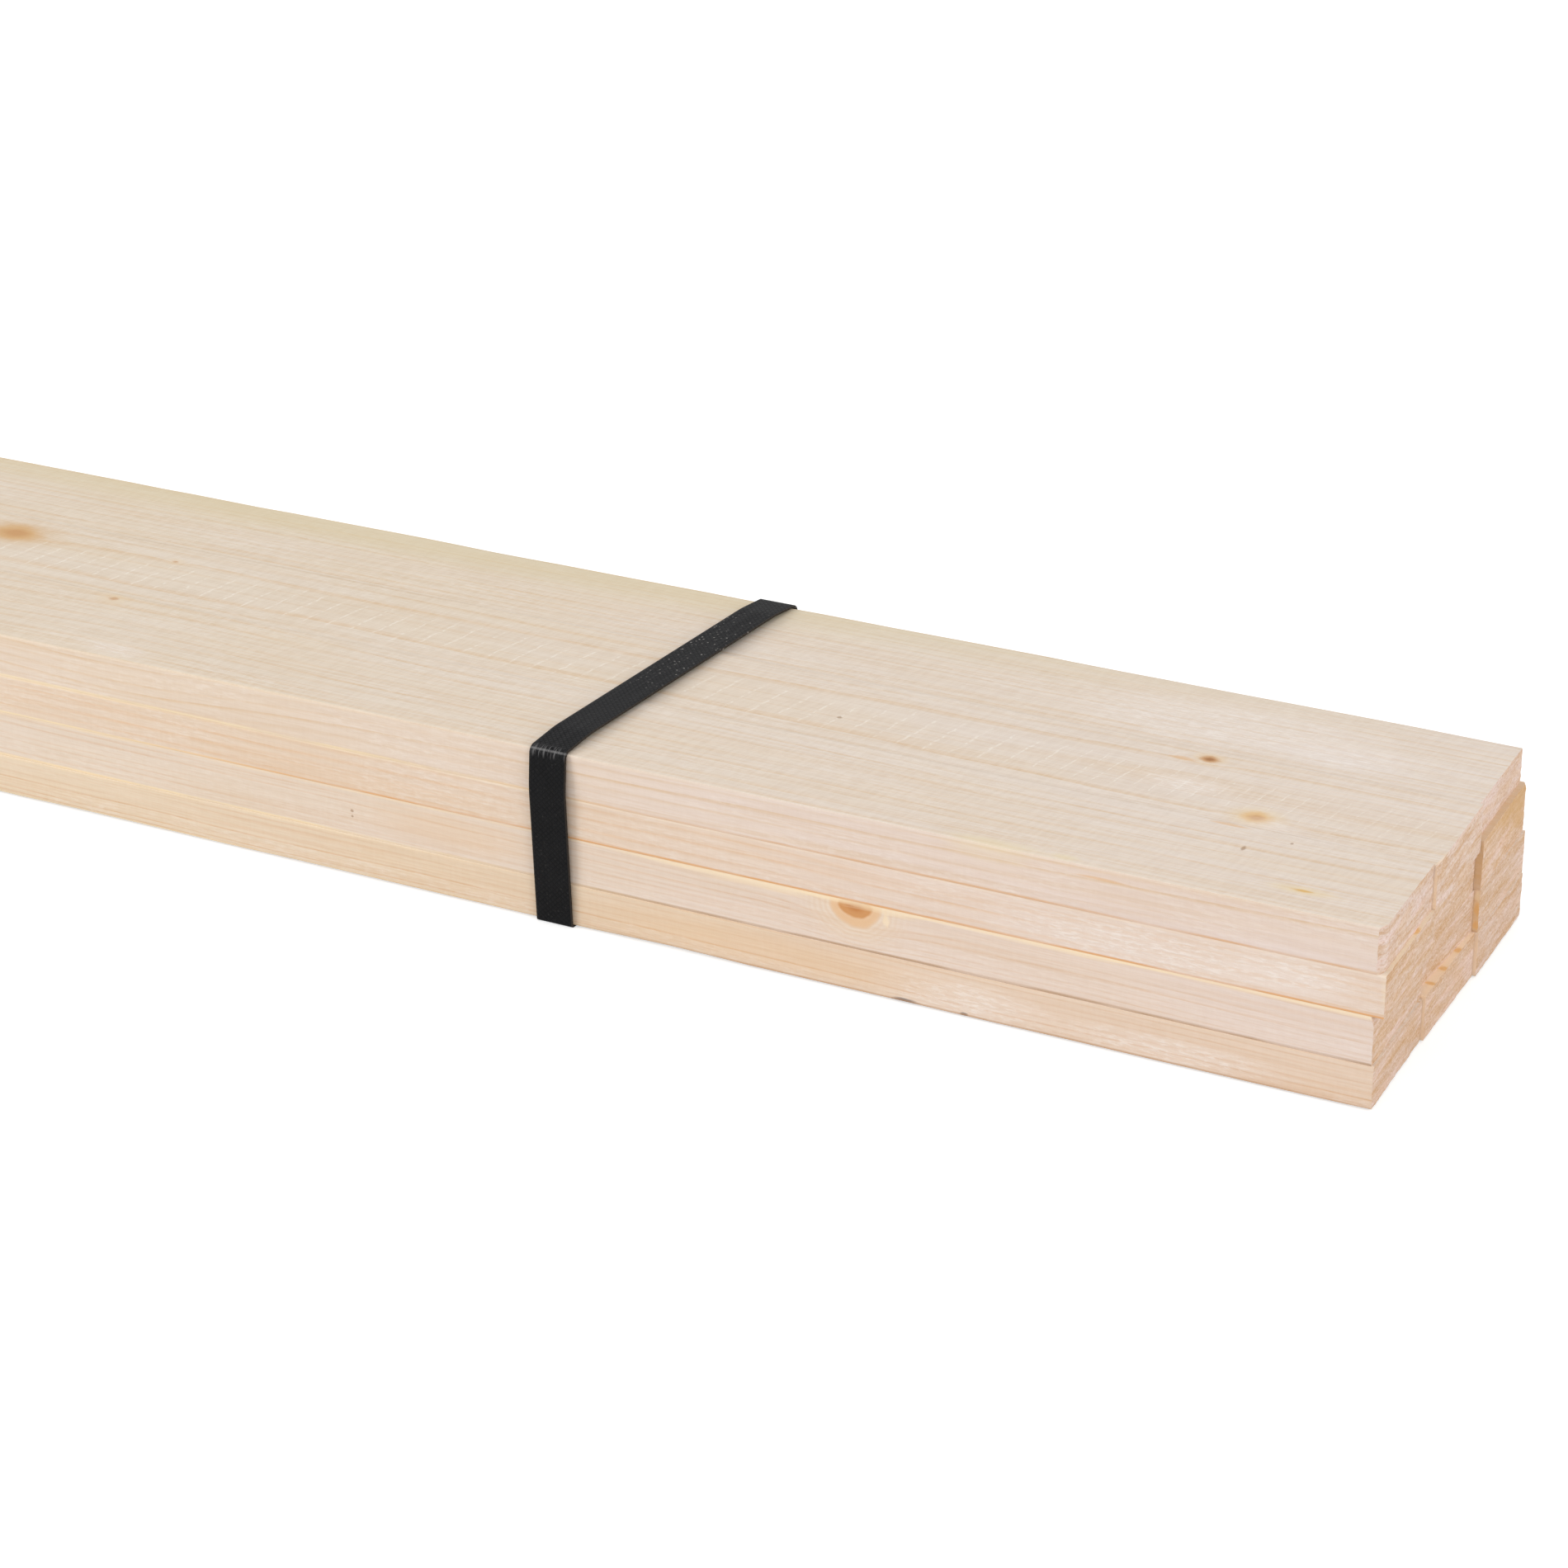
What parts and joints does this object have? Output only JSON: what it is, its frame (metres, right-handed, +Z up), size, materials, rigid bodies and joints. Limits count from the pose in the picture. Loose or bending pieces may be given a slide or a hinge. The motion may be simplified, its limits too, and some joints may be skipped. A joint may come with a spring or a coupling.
{
  "type": "bundle of wooden battens",
  "caption": "Bundle of thin sawn softwood battens stacked in layers, with uneven ends, held by a black plastic strap near each end.",
  "frame": {"origin": "under the middle of the bundle, on the level that the straps' undersides rest on", "axes": "+X along the battens towards the end that the picture shows, +Y towards the far long side, +Z up"},
  "size_m": [1.8042, 0.1416, 0.0637],
  "materials": {
    "sawn_softwood": "rough sawn, unplaned pale spruce with knots",
    "black_strapping": "satin black, finely embossed"
  },
  "bodies": {
    "root": {"batten_bottom_near": "sawn_softwood", "batten_bottom_middle": "sawn_softwood", "batten_bottom_far": "sawn_softwood", "batten_lower_near": "sawn_softwood", "batten_lower_middle": "sawn_softwood", "batten_lower_far": "sawn_softwood", "batten_upper_near": "sawn_softwood", "batten_upper_middle": "sawn_softwood", "batten_upper_far": "sawn_softwood", "batten_top_near": "sawn_softwood", "batten_top_middle": "sawn_softwood", "batten_top_far": "sawn_softwood", "strap_right": "black_strapping", "strap_left": "black_strapping"}
  },
  "joints": []
}
